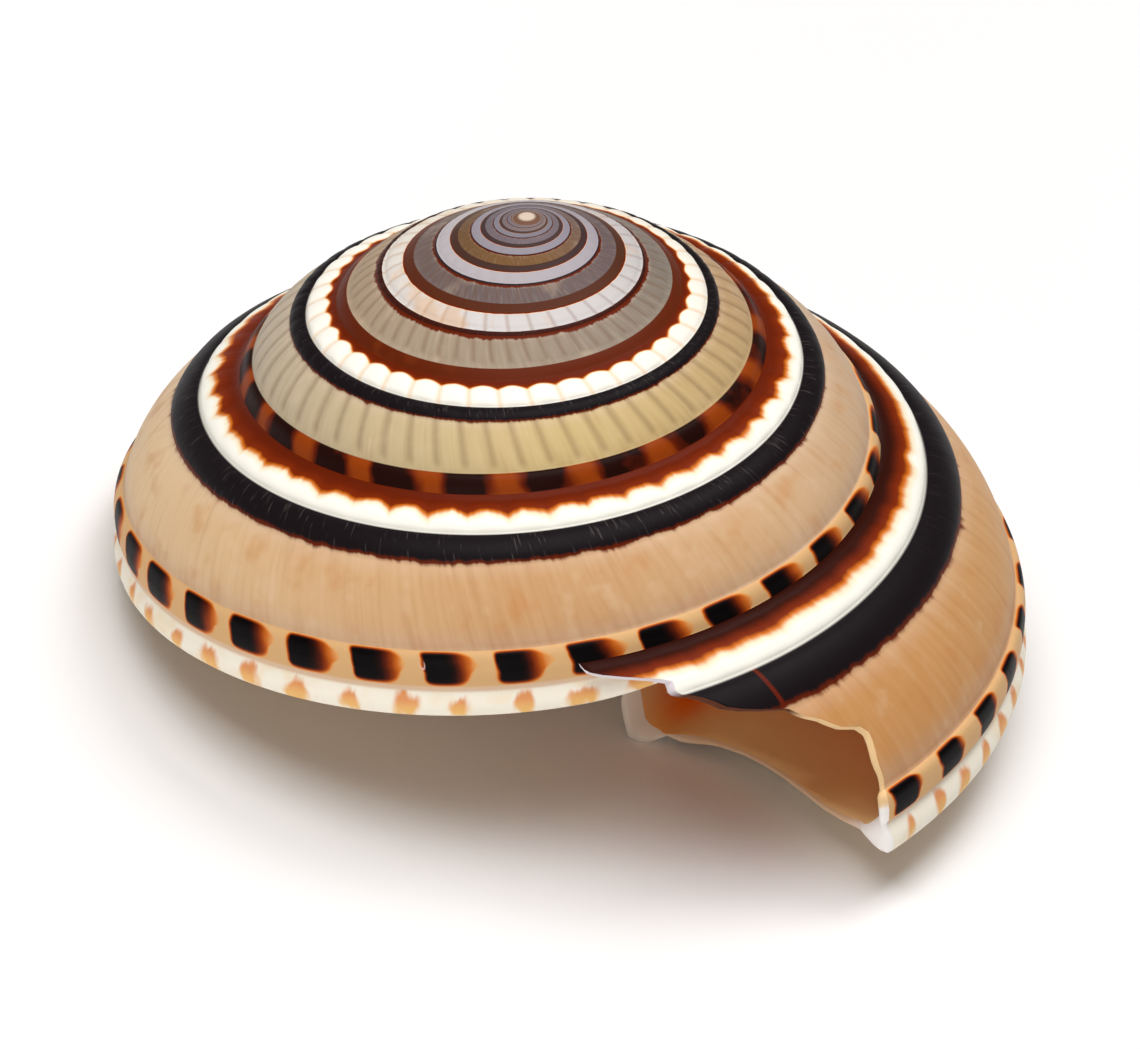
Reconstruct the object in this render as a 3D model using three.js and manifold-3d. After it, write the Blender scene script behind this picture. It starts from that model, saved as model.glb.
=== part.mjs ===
// Sundial shell: a low, right-handed coil of whorls around an open umbilicus, grown as one piece.
//
// The shell is described in its own coil frame first. A place along the coil is t, in whorls: 0 at the
// lip and negative towards the apex. The whorl meets the one before it along its periphery, the groove
// between its two outer cords, so every section hangs between the peripheries at t - 1 and t.
// Lengths in a section are in units of the whorl's own radius and are scaled to millimetres last.

import * as THREE from "three";
import { mergeVertices } from "three/addons/utils/BufferGeometryUtils.js";
import Module from "manifold-3d";

// Driving dimensions, in millimetres and degrees
const lipRadius = 24;             // coil axis to the periphery at the lip
const wall = 0.84;                // shell wall, a little way inside the lip
const lipWall = 0.5;              // the same wall at the lip's edge
const glaze = 0.3;                // thin coat that the last whorl lays on the base of the one before
const footDepth = 0.12;           // what is worn flat where the shell touches the ground
const lipAzimuth = -39.9;         // direction of the lip around the coil axis
const lean = 10.57;               // the coil axis leans this far from upright as the shell rests
const leanAzimuth = 147.7;        // and towards this side, nearly away from the lip

// Growth of the coil
const growth = [0.3125, -0.0256, -0.0009];      // log of the radius over t, t² and t³
const descent = [0.3079, 0.6831, -0.0363];      // drop below the apex over radius, its square and cube
const lastWhorlLift = 0.02;                     // the last whorl runs a little flatter than that
const whorlBulge = 0.13;                        // outward bow of a whorl's upper side, over its width
const apexStart = -7.6;
const umbilicusStart = -5.5;
const cavityStart = -3.1;

// Grooves across the upper side, as shares of its width at the lip and their drift for each whorl.
// They part four bands: the beaded cord below the suture, the dark cord, the field and the dashed cord.
const grooves = [
  { across: 0, drift: 0 },
  { across: 0.221, drift: -0.0147 },
  { across: 0.43, drift: 0.02 },
  { across: 0.918, drift: 0.05 },
  { across: 1, drift: 0 },
];

// Lines along the upper side: place in a band, rise in whorl radii, and the whorl from which it shows
const upperLines = [
  { band: 0, share: 0.15, rise: 0.006, from: -2 },
  { band: 0, share: 0.5, rise: 0.012, from: apexStart },
  { band: 0, share: 0.85, rise: 0.009, from: -2 },
  { band: 0, share: 1, rise: -0.002, from: -4 },
  { band: 1, share: 0.2, rise: 0.007, from: -2 },
  { band: 1, share: 0.5, rise: 0.010, from: -4 },
  { band: 1, share: 0.8, rise: 0.007, from: -2 },
  { band: 1, share: 1, rise: -0.002, from: apexStart },
  { band: 2, share: 0.2, rise: 0.002, from: -2 },
  { band: 2, share: 0.5, rise: 0.004, from: -4 },
  { band: 2, share: 0.85, rise: 0.001, from: -2 },
  { band: 2, share: 1, rise: -0.003, from: apexStart },
  { band: 3, share: 0.25, rise: 0.008, from: -2 },
  { band: 3, share: 0.6, rise: 0.012, from: -4 },
];
const peripheryRise = 0.011;

// Lower side of a whorl, from the periphery inwards: radius and drop, in whorl radii
const keelLines = [
  [1.007, 0.016],
  [0.997, 0.036],      // groove between the two outer cords
  [1.004, 0.052],
  [1.009, 0.076],      // edge of the keel, the widest line of the shell
  [1.000, 0.101],
  [0.976, 0.113],
  [0.945, 0.104],      // groove inside the keel
];
const baseLines = [
  [0.9, 0.103],
  [0.74, 0.099],
  [0.56, 0.096],
  [0.435, 0.100],      // cord around the umbilicus
];
const seamLine = [0.385, 0.088];       // the next whorl's inner wall stands on this groove
const crenateLines = [
  { radius: 0.356, drop: 0.108, notch: 0.006 },
  { radius: 0.326, drop: 0.112, notch: 0.014 },
  { radius: 0.302, drop: 0.092, notch: 0.010 },
];
const crenaePerWhorl = 36;
const umbilicalWall = [0.35, 0.75];    // lines up the wall, as shares of the way to the seam above

// Lead of the lip's edge over the lip plane, in whorls, largest at the suture
const sutureLead = 0.104;
const leadReach = 0.65;
const leadPower = 0.8;
const lipArch = 0.02;             // the lip of the base is drawn back this far at its middle

// The spiral hollow: corners of its section, as shares across the upper side or radii of the whorl
const baseDrop = 0.103;           // level of the base's outside below the periphery, in whorl radii
const ceilingCorners = [0.35, 0.6, 0.85];
const floorCorners = [0.9, 0.66, 0.44];
const coatCorners = [0.47, 0.7, 0.93];
const floorLift = 0.006;          // the base is this much thicker than the wall
const sutureCorner = { across: 0.2, below: 0.03, share: 0.35 };
const edgeCorner = { radius: 0.99, drop: 0.02 };
const innerCorner = { radius: 0.325, drop: 0.06 };
const wallCorner = { share: 0.2, thickening: 1.1 };
const thinningReach = 0.12;       // the wall thins towards the lip over this part of a whorl
const mouthMiddle = { radius: 0.66, drop: -0.12 };
const apexHeight = 0.004;
const umbilicusTopDrop = 0.1;

// Steps around the coil, per whorl
const outerSteps = 44;
const innerSteps = 28;
const apexSteps = 18;
const cavitySteps = 24;

const { cos, sin, exp, hypot, max, min, PI } = Math;
const vertices = [];
const triangles = [];

const radiusAt = (t) => exp(growth[0] * t + growth[1] * t ** 2 + growth[2] * t ** 3);

function periphery(t) {
  const r = radiusAt(t);
  const drop = descent[0] * r + descent[1] * r ** 2 + descent[2] * r ** 3;
  return { r, z: lastWhorlLift * max(0, t + 1) ** 2 - drop };
}

// A point of the upper side: across runs from the suture (0) to the periphery (1)
function upperPoint(t, across, rise) {
  const inner = periphery(t - 1);
  const outer = periphery(t);
  const run = outer.r - inner.r;
  const fall = outer.z - inner.z;
  const width = hypot(run, fall);
  const out = whorlBulge * 4 * across * (1 - across) * width + rise * outer.r;
  return {
    r: inner.r + across * run - (out * fall) / width,
    z: inner.z + across * fall + (out * run) / width,
  };
}

// A point of the lower side, given in radii of the whorl
function lowerPoint(t, radius, drop) {
  const edge = periphery(t);
  return { r: edge.r * radius, z: edge.z - edge.r * drop };
}

const between = (a, b, share) => ({ r: a.r + (b.r - a.r) * share, z: a.z + (b.z - a.z) * share });

function lipLead(across) {
  return across < leadReach ? sutureLead * (1 - (across / leadReach) ** leadPower) : 0;
}

function baseLead(radius) {
  return -lipArch * sin((PI * (1 - min(1, radius))) / (1 - seamLine[0]));
}

// Where the lip is attached to the base of the whorl before it
function parietalLead(radius) {
  return (sutureLead * (radius - seamLine[0])) / (1 - seamLine[0]);
}

function addVertex({ r, z }, t) {
  const azimuth = (lipAzimuth * PI) / 180 - 2 * PI * t;
  vertices.push(new THREE.Vector3(r * cos(azimuth), r * sin(azimuth), z).multiplyScalar(lipRadius));
  return vertices.length - 1;
}

function addTriangle(a, b, c) {
  if (a !== b && b !== c && c !== a) {
    triangles.push(c, b, a);
  }
}

// Places along the coil where sections are taken, closer together on the larger whorls
const zones = [
  { from: apexStart, to: -4, steps: apexSteps },
  { from: -4, to: -2, steps: innerSteps },
  { from: -2, to: 1, steps: outerSteps },
];
const stations = zones.flatMap(({ from, to, steps }) =>
  Array.from({ length: Math.round((to - from) * steps) }, (_, i) => from + i / steps));

const shortestStep = 1e-3;        // a station nearer than this to a line's end is left out
const samePlace = 1e-6;

// A line along the coil: vertex numbers, each with its own t
function coilLine(pointAt, from, to, places = stations) {
  const inside = places.filter((place) => place > from + shortestStep && place < to - shortestStep);
  const t = [from, ...inside, to];
  return { t, id: t.map((place) => addVertex(pointAt(place), place)) };
}

// The part of a line from one t to another, as the same vertices
function stretch(line, from, to) {
  const keep = line.t.map((place, i) => i)
    .filter((i) => line.t[i] > from - samePlace && line.t[i] < to + samePlace);
  return { t: keep.map((i) => line.t[i]), id: keep.map((i) => line.id[i]) };
}

const joinLines = (a, b) => ({ t: [...a.t, ...b.t], id: [...a.id, ...b.id] });
const shiftLine = (line, by) => ({ t: line.t.map((place) => place + by), id: line.id });
const lastOf = (line) => line.id[line.id.length - 1];

// A band of triangles between two lines that run side by side
function band(a, b) {
  let i = 0;
  let j = 0;
  while (i < a.id.length - 1 || j < b.id.length - 1) {
    const stepA = j === b.id.length - 1 || (i < a.id.length - 1 && a.t[i + 1] <= b.t[j + 1]);
    if (stepA) {
      addTriangle(a.id[i], b.id[j], a.id[i + 1]);
      i += 1;
    } else {
      addTriangle(a.id[i], b.id[j], b.id[j + 1]);
      j += 1;
    }
  }
}

function bands(lines) {
  lines.slice(1).forEach((line, i) => band(lines[i], line));
}

// Lines that split off from their neighbour part of the way along, where the relief begins to show
function splitFrom(neighbour, from, pointAt, to) {
  const own = coilLine(pointAt, from, to);
  const shared = stretch(neighbour, neighbour.t[0], from - shortestStep);
  return joinLines(shared, own);
}

// Upper side
const suturePlace = sutureLead - 1;
const peripheryPlaces = [...stations, suturePlace].sort((a, b) => a - b);
const peripheryLine = coilLine((t) => upperPoint(t, 1, peripheryRise), apexStart, 0, peripheryPlaces);
const apex = addVertex({ r: 0, z: apexHeight }, 0);
const sutureLine = joinLines({ t: [apexStart], id: [apex] },
  shiftLine(stretch(peripheryLine, apexStart, suturePlace), 1));

const upper = [];
for (const { band: index, share, rise, from } of upperLines) {
  const acrossAt = (t) => {
    const [inner, outer] = grooves.slice(index, index + 2).map((groove) => groove.across + groove.drift * t);
    return inner + (outer - inner) * share;
  };
  const pointAt = (t) => upperPoint(t, acrossAt(t), rise);
  const end = lipLead(acrossAt(0));
  if (from === apexStart) {
    upper.push(coilLine(pointAt, apexStart, end));
  } else {
    const inward = upper.length ? upper[upper.length - 1] : sutureLine;
    upper.push(splitFrom(inward, from, pointAt, end));
  }
}
bands([sutureLine, ...upper, peripheryLine]);

// The first whorl starts as a small step against the apex
const firstStep = [...new Set([...upper.map((line) => line.id[0]), peripheryLine.id[0]])];
firstStep.slice(1).forEach((id, i) => addTriangle(apex, id, firstStep[i]));

// Lower side of the last whorl, from the keel to the seam
const seamPlace = -1;
const seamAt = (t) => lowerPoint(t, ...seamLine);
const seam = coilLine(seamAt, umbilicusStart, 0);
const lower = [...keelLines, ...baseLines].map(([radius, drop]) =>
  coilLine((t) => lowerPoint(t, radius, drop), parietalLead(min(radius, 1)) - 1, baseLead(radius)));
bands([stretch(peripheryLine, suturePlace, 0), ...lower, stretch(seam, seamPlace, 0)]);

// Crenate keel around the umbilicus, and the wall above it up to the seam of the whorl before
const umbilicusTop = addVertex({ ...lowerPoint(umbilicusStart, 0, umbilicusTopDrop), r: 0 }, 0);
const crenaPlaces = Array.from({ length: 4 * crenaePerWhorl }, (_, i) => -2 + i / (2 * crenaePerWhorl));
const keelPlaces = [...stations.filter((t) => t < -2), ...crenaPlaces];
const crenate = crenateLines.map(({ radius, drop, notch }) => coilLine((t) => {
  const crest = t < -2 ? 0 : 0.5 - 0.5 * cos(2 * PI * crenaePerWhorl * t);
  return lowerPoint(t, radius + notch * crest, drop - notch * crest);
}, umbilicusStart, 0, keelPlaces));
const keelEdge = crenateLines[crenateLines.length - 1];
const wallLines = umbilicalWall.map((share) => coilLine((t) =>
  between(lowerPoint(t, keelEdge.radius, keelEdge.drop), seamAt(t - 1), share), umbilicusStart, 0));
const upperSeam = joinLines({ t: [umbilicusStart], id: [umbilicusTop] },
  shiftLine(stretch(seam, umbilicusStart, seamPlace), 1));
bands([seam, ...crenate, ...wallLines, upperSeam]);
const umbilicusStep = [seam, ...crenate, ...wallLines].map((line) => line.id[0]);
umbilicusStep.slice(1).forEach((id, i) => addTriangle(umbilicusTop, id, umbilicusStep[i]));

// Inside: the spiral hollow, its corners going round the section from the whorl before
const wallAt = (t) => {
  const near = min(1, max(0, 1 + t / thinningReach));
  return (wall + (lipWall - wall) * near) / lipRadius;
};
const cavityCorners = [
  {
    lead: lipLead(sutureCorner.across),
    at: (t) => between(
      upperPoint(t, sutureCorner.across, -wallAt(t)),
      lowerPoint(t - 1, 1, baseDrop + sutureCorner.below),
      sutureCorner.share,
    ),
  },
  ...ceilingCorners.map((across) => ({
    lead: lipLead(across),
    at: (t) => upperPoint(t, across, -wallAt(t)),
  })),
  { lead: 0, at: (t) => lowerPoint(t, edgeCorner.radius - wallAt(t), edgeCorner.drop) },
  ...floorCorners.map((radius) => ({
    lead: baseLead(radius),
    at: (t) => lowerPoint(t, radius, baseDrop - floorLift - wallAt(t)),
  })),
  { lead: 0, at: (t) => lowerPoint(t, innerCorner.radius + wallAt(t), innerCorner.drop) },
  {
    lead: 0,
    at: (t) => {
      const keel = lowerPoint(t, keelEdge.radius, keelEdge.drop);
      const wallTop = between(seamAt(t - 1), keel, wallCorner.share);
      return { r: wallTop.r + wallAt(t) * radiusAt(t) * wallCorner.thickening, z: wallTop.z };
    },
  },
  ...coatCorners.map((radius) => ({
    lead: parietalLead(radius),
    at: (t) => {
      const above = lowerPoint(t - 1, radius, baseDrop);
      return { r: above.r, z: above.z - (glaze / lipRadius) * radiusAt(t) };
    },
  })),
];
const cavityPlaces = Array.from({ length: Math.round((1 - cavityStart) * cavitySteps) }, (_, i) =>
  cavityStart + i / cavitySteps);
const cavityLines = cavityCorners.map(({ lead, at }) => coilLine(at, cavityStart, lead, cavityPlaces));
bands([...cavityLines, cavityLines[0]].toReversed());
const cavityEnd = cavityLines.map((line) => line.id[0]);
const middle = cavityEnd.reduce((sum, id) => sum.add(vertices[id]), new THREE.Vector3());
vertices.push(middle.divideScalar(cavityEnd.length));
const cavityTip = vertices.length - 1;
cavityEnd.forEach((id, i) => addTriangle(cavityTip, id, cavityEnd[(i + 1) % cavityEnd.length]));

// The lip: the rim between the outside and the hollow, followed round the middle of the mouth
const outerLoop = [
  lastOf(sutureLine),
  ...upper.map(lastOf),
  lastOf(peripheryLine),
  ...lower.map(lastOf),
  lastOf(seam),
  ...crenate.map(lastOf),
  ...wallLines.map(lastOf),
  lastOf(upperSeam),
  ...lower.map((line) => line.id[0]).toReversed(),
];
const hollowLoop = cavityLines.map(lastOf);
const mouth = lowerPoint(0, mouthMiddle.radius, mouthMiddle.drop);

function rimLine(loop) {
  const angles = [...loop, loop[0]].map((id) => {
    const { x, y, z } = vertices[id];
    return Math.atan2(mouth.z * lipRadius - z, hypot(x, y) - mouth.r * lipRadius);
  });
  const t = angles.reduce((turned, angle) => {
    const last = turned.at(-1) ?? angle;
    return [...turned, angle + 2 * PI * Math.round((last - angle) / (2 * PI))];
  }, []);
  return { t, id: [...loop, loop[0]] };
}
band(rimLine(hollowLoop), rimLine(outerLoop));

// The shell leaning as it rests, standing on the ground
const leanSide = (leanAzimuth * PI) / 180;
const leanAxis = new THREE.Vector3(-sin(leanSide), cos(leanSide), 0);
const shell = new THREE.BufferGeometry();
shell.setAttribute("position", new THREE.Float32BufferAttribute(vertices.flatMap((v) => v.toArray()), 3));
shell.setIndex(triangles);
shell.applyMatrix4(new THREE.Matrix4().makeRotationAxis(leanAxis, (lean * PI) / 180));
shell.computeBoundingBox();
const { min: low, max: high } = shell.boundingBox;
shell.translate(-(low.x + high.x) / 2, -(low.y + high.y) / 2, -low.z - footDepth);

// Small flats worn where it touches the ground
const wasm = await Module();
wasm.setup();

function solidOf(geometry) {
  const bare = geometry.clone();
  bare.deleteAttribute("normal");
  bare.deleteAttribute("uv");
  const merged = mergeVertices(bare, 1e-5);
  return new wasm.Manifold(new wasm.Mesh({
    numProp: 3,
    vertProperties: new Float32Array(merged.attributes.position.array),
    triVerts: new Uint32Array(merged.index.array),
  }));
}

function geometryOf(solid) {
  const mesh = solid.getMesh();
  const geometry = new THREE.BufferGeometry();
  geometry.setAttribute("position", new THREE.BufferAttribute(mesh.vertProperties, 3));
  geometry.setIndex(new THREE.BufferAttribute(mesh.triVerts, 1));
  geometry.computeVertexNormals();
  return geometry;
}

const groundDepth = 4;
const ground = new THREE.BoxGeometry(4 * lipRadius, 4 * lipRadius, groundDepth);
ground.translate(0, 0, -groundDepth / 2);
const finished = solidOf(shell).subtract(solidOf(ground));

const aragonite = new THREE.MeshStandardMaterial({ color: 0xc9a27a, roughness: 0.38, metalness: 0 });
const shellMesh = new THREE.Mesh(geometryOf(finished), aragonite);
shellMesh.name = "shell";

const group = new THREE.Group();
group.add(shellMesh);

export default group;
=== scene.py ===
"""Looks of a sundial shell: a low right-handed coil of banded whorls around an open umbilicus.

The shell is one grown piece. Its outside, its spiral hollow and its lip are flat grids wrapped onto the
coil, sewn together edge to edge. A place on the coil is t, in whorls, 0 at the lip and negative towards the
apex. A place across the wall is v, counted in bands from the suture over the edge to the umbilicus:
0 to 1 white cord, 1 to 2 dark cord, 2 to 3 field, 3 to 4 dashed cord, 4 to 5 keel, 5 to 6 base,
6 to 7 notched keel around the umbilicus, 7 to 8 umbilical wall. Just below 0 is the dome at the apex.

The finish reads these from the map named coil. Its first number is t along a growth line, and its second
is v. In the hollow the first is the share of the way round the section, and the second is 10 and more with
the depth. On the lip's edge the first is 20 to 21 across the wall, and the second is the band.
"""

import logging
import math
from dataclasses import dataclass, field
from enum import Enum
from typing import ClassVar

import bpy
import numpy as np
from mathutils import Matrix, Vector
from mathutils.kdtree import KDTree


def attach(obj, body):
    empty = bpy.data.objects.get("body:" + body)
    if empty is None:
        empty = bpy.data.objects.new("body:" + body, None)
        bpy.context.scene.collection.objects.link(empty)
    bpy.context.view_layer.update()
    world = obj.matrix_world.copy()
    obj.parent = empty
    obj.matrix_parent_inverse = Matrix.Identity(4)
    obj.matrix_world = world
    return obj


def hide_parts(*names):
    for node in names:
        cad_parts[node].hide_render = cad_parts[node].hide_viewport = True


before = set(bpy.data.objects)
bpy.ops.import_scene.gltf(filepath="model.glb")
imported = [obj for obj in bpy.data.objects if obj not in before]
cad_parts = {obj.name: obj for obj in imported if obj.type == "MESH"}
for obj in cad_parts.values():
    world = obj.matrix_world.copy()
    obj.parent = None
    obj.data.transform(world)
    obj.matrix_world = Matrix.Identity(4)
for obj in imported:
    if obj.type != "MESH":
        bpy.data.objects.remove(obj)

LOG = logging.getLogger("sundial_shell")
MILLIMETRE = 0.001
SHELL_MAP = "coil"
Section = tuple[np.ndarray, np.ndarray]


class Zone(Enum):
    """Where the hollow and the lip begin in the shell's map; the outside lies below both."""

    HOLLOW = 10.0
    LIP = 20.0


def smooth(x: np.ndarray, low: float, high: float) -> np.ndarray:
    """Rise smoothly from 0 at low to 1 at high.

    Args:
        x: Where to evaluate.
        low: Place of the start.
        high: Place of the end, above or below low.

    Returns:
        The share of the way, from 0 to 1.
    """
    share = np.clip((x - low) / (high - low), 0, 1)
    return share * share * (3 - 2 * share)


@dataclass(frozen=True)
class Outline:
    """A smooth line through a few named places, each with one or more numbers."""

    places: tuple[float, ...]
    values: tuple[tuple[float, ...], ...]

    def at(self, place: np.ndarray) -> np.ndarray:
        """Follow the line.

        Args:
            place: Where along the line.

        Returns:
            The numbers there, in a last axis of their own.
        """
        x = np.array(self.places)
        y = np.array(self.values, float)
        slope = np.gradient(y, x, axis=0)
        flat = np.zeros_like(slope)
        rise = np.diff(y, axis=0) / np.diff(x)[:, None]
        turning = rise[:-1] * rise[1:] <= 0
        slope[1:-1] = np.where(turning, flat[1:-1], slope[1:-1])
        place = np.clip(np.asarray(place, float), x[0], x[-1])
        i = np.clip(np.searchsorted(x, place, side="right") - 1, 0, len(x) - 2)
        step = (x[i + 1] - x[i])[..., None]
        s = (place - x[i])[..., None] / step
        return (
            y[i] * (1 + 2 * s) * (1 - s) ** 2
            + slope[i] * step * s * (1 - s) ** 2
            + y[i + 1] * s**2 * (3 - 2 * s)
            + slope[i + 1] * step * s**2 * (s - 1)
        )


@dataclass(frozen=True)
class Coil:
    """How the whorls grow, and how the shell lies in the frame.

    Radii and heights of a section are in radii of the lip, and the apex is the coil's own origin.
    """

    lip_radius: float = 24 * MILLIMETRE
    lip_azimuth: float = math.radians(-39.9)
    lean: float = math.radians(10.57)
    lean_azimuth: float = math.radians(147.7)
    apex: Vector = field(default_factory=lambda: Vector((-4.8128, 0.0214, 23.1534)) * MILLIMETRE)
    growth: tuple[float, float, float] = (0.3125, -0.0256, -0.0009)
    descent: tuple[float, float, float] = (0.3079, 0.6831, -0.0363)
    last_whorl_lift: float = 0.02
    whorl_bulge: float = 0.13
    first: float = -7.875

    def radius(self, t: np.ndarray) -> np.ndarray:
        """Radius of the periphery at t."""
        return np.exp(self.growth[0] * t + self.growth[1] * t**2 + self.growth[2] * t**3)

    def height(self, t: np.ndarray) -> np.ndarray:
        """Height of the periphery at t, below the apex."""
        r = self.radius(t)
        drop = self.descent[0] * r + self.descent[1] * r**2 + self.descent[2] * r**3
        return self.last_whorl_lift * np.maximum(0, t + 1) ** 2 - drop

    def upper(self, t: np.ndarray, across: np.ndarray, rise: np.ndarray) -> Section:
        """Find a point of the upper side.

        Args:
            t: Place along the coil.
            across: Share of the way from the suture to the periphery.
            rise: Height above the bowed section, in radii of the whorl.

        Returns:
            Distance from the coil axis and height.
        """
        before = np.maximum(t - 1, self.first)
        inner_r, inner_z = self.radius(before), self.height(before)
        outer_r, outer_z = self.radius(t), self.height(t)
        run, fall = outer_r - inner_r, outer_z - inner_z
        width = np.hypot(run, fall) + 1e-9
        bulge = self.whorl_bulge * (0.1 + 0.9 * smooth(t, -4.0, -1.0))
        out = bulge * 4 * across * (1 - across) * width + rise * outer_r
        return inner_r + across * run - out * fall / width, inner_z + across * fall + out * run / width

    def lower(self, t: np.ndarray, radius: np.ndarray, drop: np.ndarray) -> Section:
        """A point of the lower side, radius and drop being in radii of the whorl."""
        return self.radius(t) * radius, self.height(t) - self.radius(t) * drop

    def place(self, t: np.ndarray, section: Section) -> np.ndarray:
        """Turn a section's points into places in the frame.

        Args:
            t: Place along the coil.
            section: Distance from the coil axis and height, in lip radii.

        Returns:
            Coordinates in metres, in a last axis of three.
        """
        r, z = section
        azimuth = self.lip_azimuth - 2 * np.pi * t
        coiled = np.stack([r * np.cos(azimuth), r * np.sin(azimuth), z + 0 * azimuth], -1)
        axis = Vector((-math.sin(self.lean_azimuth), math.cos(self.lean_azimuth), 0))
        turn = np.array(Matrix.Rotation(self.lean, 3, axis))
        return self.lip_radius * coiled @ turn.T + np.array(self.apex)


@dataclass(frozen=True)
class Beat:
    """Something that repeats along the coil, more often on the later whorls."""

    at_lip: float
    change: float
    bend: float = 0.0
    start: float = 0.0

    def count(self, t: np.ndarray) -> np.ndarray:
        """Number of repeats from the lip back to t, negative before the lip."""
        return self.at_lip * t + self.change * t**2 / 2 + self.bend * t**3 / 3 + self.start


@dataclass(frozen=True)
class Relief:
    """Cords, beads, ribs and worn places, as heights in radii of the whorl."""

    slant: float = 0.026
    beads: Beat = Beat(50, 5.5)
    ribs: Beat = Beat(56, 1.0)
    crenae: Beat = Beat(36, 0)
    oldest_drift: float = -4.5
    cords: Outline = Outline(
        (0, 0.12, 0.3, 0.55, 0.8, 0.93, 1, 1.08, 1.25, 1.5, 1.75, 1.92, 2, 2.05, 2.2, 2.5, 2.85, 2.97, 3.0,
         3.06, 3.2, 3.6, 4),
        tuple((h,) for h in (
            0.011, 0.004, 0.010, 0.013, 0.011, 0.005, -0.002, 0.004, 0.009, 0.011, 0.009, 0.004, -0.002,
            0.000, 0.002, 0.004, 0.002, -0.002, -0.004, 0.002, 0.008, 0.013, 0.011)),
    )

    def edges(self, t: np.ndarray) -> list[np.ndarray]:
        """Shares of the upper side's width at which its bands begin and end."""
        t = np.maximum(t, self.oldest_drift)
        return [0 * t, 0.221 - 0.0147 * t, 0.43 + 0.02 * t, 0.918 + 0.05 * t, 1 + 0 * t]

    def across(self, t: np.ndarray, v: np.ndarray) -> np.ndarray:
        """Share of the upper side's width at a band coordinate.

        Args:
            t: Place along the coil.
            v: Band coordinate, from 0 to 4.

        Returns:
            The share, from 0 at the suture to 1 at the periphery.
        """
        edges = self.edges(t)
        share = [np.clip(v - i, 0, 1) for i in range(4)]
        return sum((edges[i + 1] - edges[i]) * share[i] for i in range(4))

    def grown(self, t: np.ndarray, across: np.ndarray) -> np.ndarray:
        """Place along the coil at which the shell was when it laid down this point."""
        return t + self.slant * across

    def rise(self, t: np.ndarray, v: np.ndarray) -> np.ndarray:
        """Height of the upper side's relief.

        Args:
            t: Place along the coil.
            v: Band coordinate, from 0 to 4.

        Returns:
            Height above the bowed section.
        """
        g = self.grown(t, self.across(t, v))
        cord = self.cords.at(v)[..., 0] * smooth(t, -7.6, -6.0) * (0.5 + 0.5 * smooth(t, -4.0, -1.5))
        swell = np.sqrt(np.abs(np.sin(np.pi * self.beads.count(g))))
        bead = 0.011 * (swell - 0.8) * smooth(v, 0.05, 0.35) * smooth(v, 1.0, 0.8)
        bead *= 0.3 + 0.7 * smooth(g, -0.7, -1.3)
        groove = 1 - np.abs(np.sin(np.pi * self.ribs.count(g)))
        rib = -0.007 * groove**3 * smooth(v, 2.0, 2.15) * smooth(v, 3.0, 2.85) * smooth(g, -1.0, -1.5)
        dark = -0.003 * groove**3 * smooth(v, 1.0, 1.15) * smooth(v, 2.0, 1.85) * smooth(g, -0.9, -1.5)
        pulse = np.sin(37 * g + 2.0 * np.sin(9 * g)) * np.sin(13.7 * g + 1)
        wave = 0.0016 * pulse * smooth(v, 0.0, 0.5) * smooth(v, 4.0, 3.6)
        return cord + (bead + rib + dark) * smooth(t, -7.0, -5.5) + wave


@dataclass(frozen=True)
class Mouth:
    """The lip's edge: how far the wall reaches past the lip's plane, in whorls.

    The leads of lip were measured on the broken edge. Joint is where the wall meets the keel and base of the
    whorl before, and zone is the stretch before the plane over which the places shift towards the edge.
    """

    suture_lead: float = 40 / 384
    plane: float = 0.006
    lip: Outline = Outline(
        (0, 0.2, 0.49, 0.65, 0.74, 0.86, 0.97, 1.1, 1.29, 1.51, 1.76, 1.99, 2.1, 2.23, 2.32, 2.42, 2.5, 2.58,
         2.74, 2.93, 3.33, 4.0, 4.65, 5.0, 5.15, 5.23, 5.32, 5.45, 5.57, 5.68, 5.78, 5.87, 5.95, 6.0, 6.2,
         6.5, 6.8, 7.3, 8.0),
        tuple((lead,) for lead in (
            40 / 384, 0.1000, 0.0815, 0.0715, 0.0685, 0.0690, 0.0672, 0.0618, 0.0566, 0.0520, 0.0413, 0.0296,
            0.0251, 0.0175, 0.0143, 0.0058, 0.0032, 0.0028, 0.0031, 0.0020, 0.0034, 0.0030, 0.0010, 0.0,
            -0.0030, -0.0012, -0.0030, -0.0064, -0.0092, -0.0111, -0.0104, -0.0070, 0.0002, 0.0050, 0.0070,
            0.0120, 0.0120, 0.0040, 0.0)),
    )
    joint: Outline = Outline(
        (4.0, 4.15, 4.3, 4.65, 5.0, 5.5, 6.0),
        ((40 / 384,), (0.086,), (0.072,), (0.062,), (0.056,), (0.034,), (0.0,)),
    )
    zone: float = 0.125

    def end(self, v: np.ndarray) -> np.ndarray:
        """Place along the coil at which the outside ends."""
        return self.lip.at(v)[..., 0]

    def attached(self, v: np.ndarray) -> np.ndarray:
        """Place at which the lip is joined to the keel and base of the whorl before it."""
        return self.joint.at(v)[..., 0]

    def towards(self, t: np.ndarray, v: np.ndarray) -> np.ndarray:
        """Shift the places near the lip, so that the last of them lie on its wavy edge.

        Args:
            t: Places along the coil, up to 0.
            v: Band coordinates.

        Returns:
            The shifted places. What reaches far ahead above the keel is left to the flap.
        """
        end = np.where(v < 4, np.minimum(self.end(v), self.flap_start(v)), self.end(v))
        return np.where(t > -self.zone, t + (t + self.zone) * end / self.zone, t)

    def flap_start(self, v: np.ndarray) -> np.ndarray:
        """Place from which the flap beside the suture begins."""
        return self.plane * smooth(v, 0, 0.5)


def between(a: Section, b: Section, share: np.ndarray | float) -> Section:
    """A point on the way from a to b."""
    return a[0] + (b[0] - a[0]) * share, a[1] + (b[1] - a[1]) * share


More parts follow.
